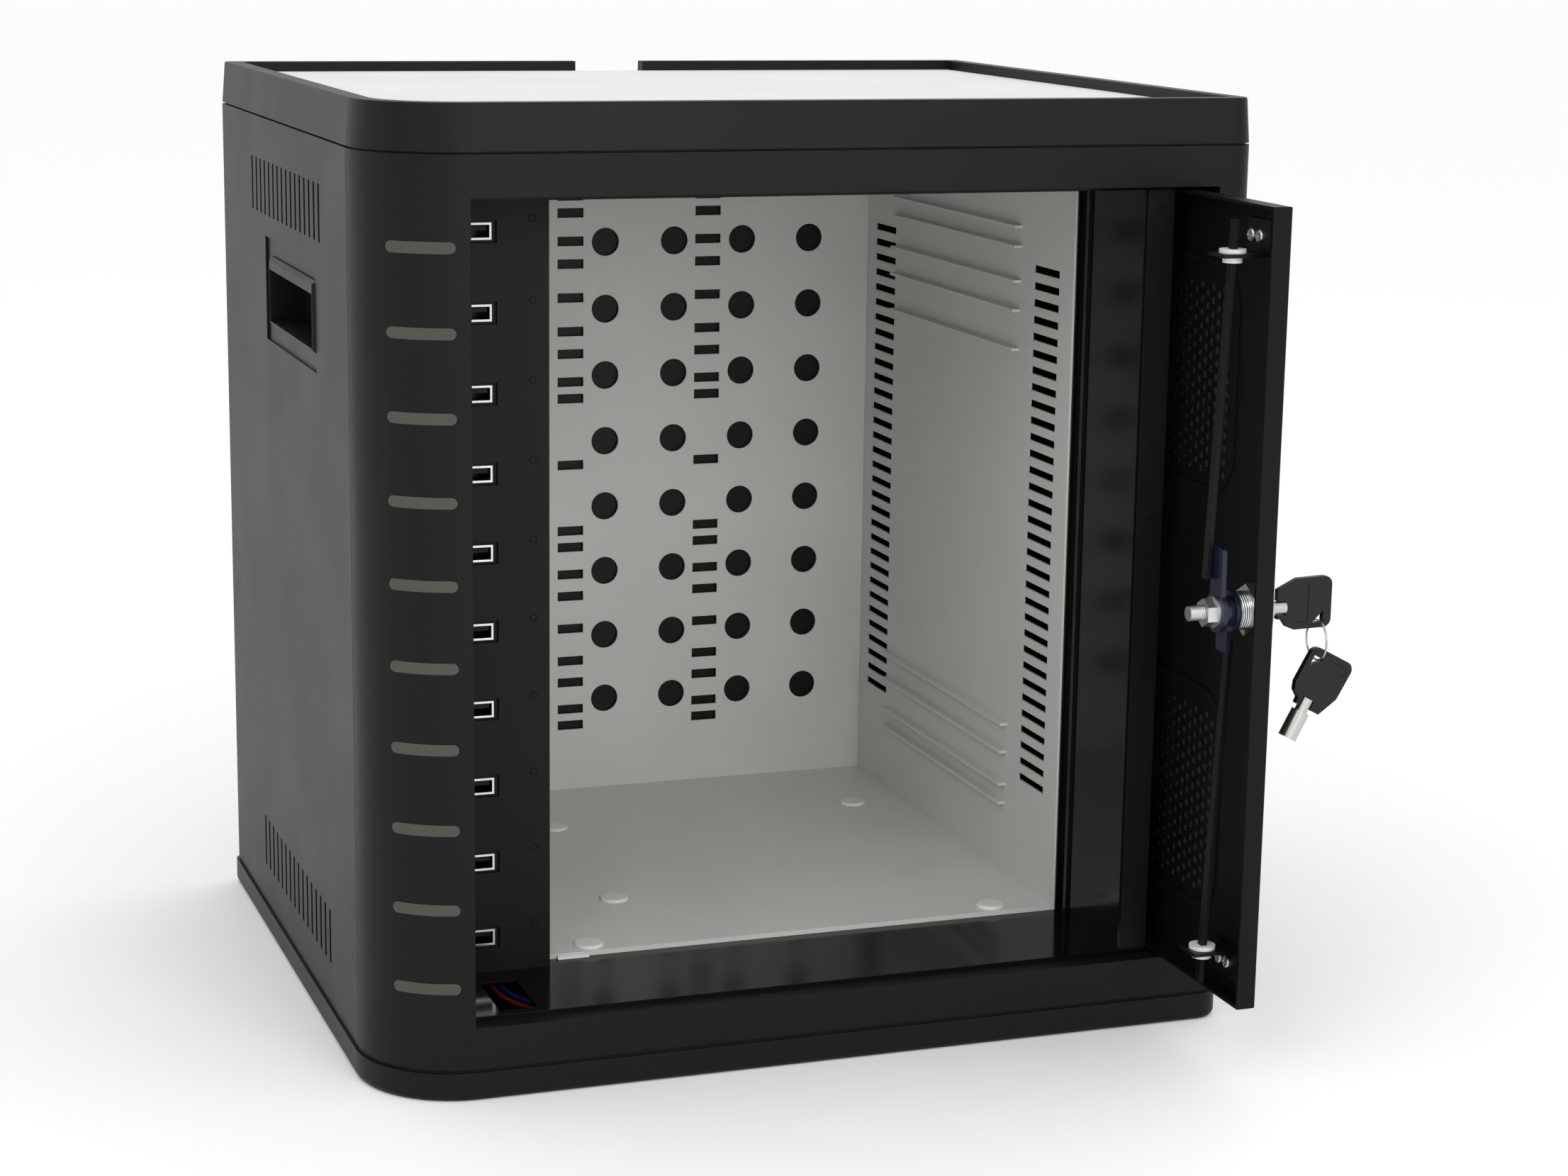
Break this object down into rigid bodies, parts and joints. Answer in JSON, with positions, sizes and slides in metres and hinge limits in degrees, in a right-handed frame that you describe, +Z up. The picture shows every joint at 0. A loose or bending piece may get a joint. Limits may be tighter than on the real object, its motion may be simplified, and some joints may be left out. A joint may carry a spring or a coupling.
{
  "type": "tablet charging cabinet",
  "caption": "Black cabinet that stores and charges tablets: open pale bay, column of charging ports, pocket door on rails with a keyed rod lock, tray top.",
  "frame": {"origin": "on the ground under the middle of the base", "axes": "+X to the right of a person facing the door side, +Y into the cabinet, +Z up"},
  "size_m": [0.4, 0.4036, 0.4025],
  "materials": {
    "textured_black": "fine texture",
    "black_steel": "satin black",
    "door_charcoal": "fine texture",
    "gloss_black": "gloss",
    "liner_grey": "satin",
    "rubber_black": "matt",
    "mat_grey": "matt",
    "zinc_steel": "zinc plated",
    "blued_steel": "blue-black satin",
    "nickel": "nickel plated",
    "bright_metal": "bright",
    "brass": "satin",
    "white_nylon": "natural",
    "key_plastic": "satin",
    "black_plastic": "satin",
    "board_green": "lacquered",
    "light_guide": "frosted",
    "red_wire": "insulated",
    "blue_wire": "insulated",
    "supply_case": "satin"
  },
  "bodies": {
    "cabinet": {"base_tray": "textured_black", "rubber_feet": "rubber_black", "bottom_plate": "black_steel", "top_plate": "black_steel", "top_tray": "textured_black", "tray_mat": "mat_grey", "left_side_panel": "textured_black", "right_side_panel": "textured_black", "left_grip_cup": "textured_black", "right_grip_cup": "textured_black", "front_bezel": "textured_black", "light_windows": "light_guide", "light_board": "board_green", "sill_plate": "gloss_black", "header_plate": "gloss_black", "jamb_plate": "gloss_black", "door_post": "textured_black", "liner_floor": "liner_grey", "floor_plugs": "white_nylon", "liner_roof": "liner_grey", "liner_left_wall": "liner_grey", "liner_right_wall": "liner_grey", "liner_back_wall": "liner_grey", "rear_panel": "black_steel", "rear_screws": "zinc_steel", "power_inlet": "black_plastic", "inlet_pins": "brass", "switch_frame": "black_plastic", "power_supply": "supply_case", "port_panel": "black_plastic", "port_shells": "bright_metal", "port_tongues": "black_plastic", "charging_board": "board_green", "red_wire": "red_wire", "blue_wire": "blue_wire", "pocket_rails": "zinc_steel"},
    "switch_rocker": {"rocker": "black_plastic"},
    "door": {"door_panel": "door_charcoal", "hinge_leaves": "zinc_steel", "hinge_pins": "zinc_steel", "carriage_bar": "zinc_steel", "carriage_shoes": "white_nylon", "lock_barrel": "nickel", "lock_nut": "bright_metal", "rod_brackets": "black_steel", "rod_bushings": "white_nylon", "bracket_screws": "zinc_steel"},
    "lock_core": {"lock_plug": "nickel", "lock_cam": "blued_steel", "lock_lever": "blued_steel", "stud_nut": "zinc_steel"},
    "upper_lock_rod": {"upper_rod": "black_steel"},
    "lower_lock_rod": {"lower_rod": "black_steel"},
    "key": {"key_bow": "key_plastic", "key_tube": "nickel"},
    "ring": {"key_ring": "nickel"},
    "spare_key": {"spare_key_bow": "key_plastic", "spare_key_tube": "nickel"}
  },
  "joints": [
    {"name": "door_slide", "type": "slide", "parent": "cabinet", "child": "door", "axis": [0, -1, 0], "range_m": [0, 0.227]},
    {"name": "lock_turn", "type": "hinge", "parent": "door", "child": "lock_core", "pos_m": [0.1655, -0.223, 0.199], "axis": [1, 0, 0], "range_deg": [0, 90]},
    {"name": "upper_rod_slide", "type": "slide", "parent": "door", "child": "upper_lock_rod", "axis": [0.0415, 0, 0.9991], "range_m": [0, 0.01]},
    {"name": "lower_rod_slide", "type": "slide", "parent": "door", "child": "lower_lock_rod", "axis": [-0.046, 0, -0.9989], "range_m": [0, 0.01]},
    {"name": "key_pull", "type": "slide", "parent": "lock_core", "child": "key", "axis": [1, 0, 0], "range_m": [0, 0.026]},
    {"name": "ring_swing", "type": "hinge", "parent": "key", "child": "ring", "pos_m": [0.1941, -0.223, 0.19295], "axis": [0, 1, 0], "range_deg": [-25, 5]},
    {"name": "spare_key_swing", "type": "hinge", "parent": "ring", "child": "spare_key", "pos_m": [0.1941, -0.223, 0.17575], "axis": [0, 1, 0], "range_deg": [-30, 5]},
    {"name": "switch_rock", "type": "hinge", "parent": "cabinet", "child": "switch_rocker", "pos_m": [-0.14075, 0.1575, 0.0992], "axis": [1, 0, 0], "range_deg": [0, 20]}
  ],
  "couplings": [
    {"joint": "lock_turn", "follows": "upper_rod_slide", "rad_per_m": 157.07},
    {"joint": "lower_rod_slide", "follows": "upper_rod_slide", "ratio": 1}
  ]
}
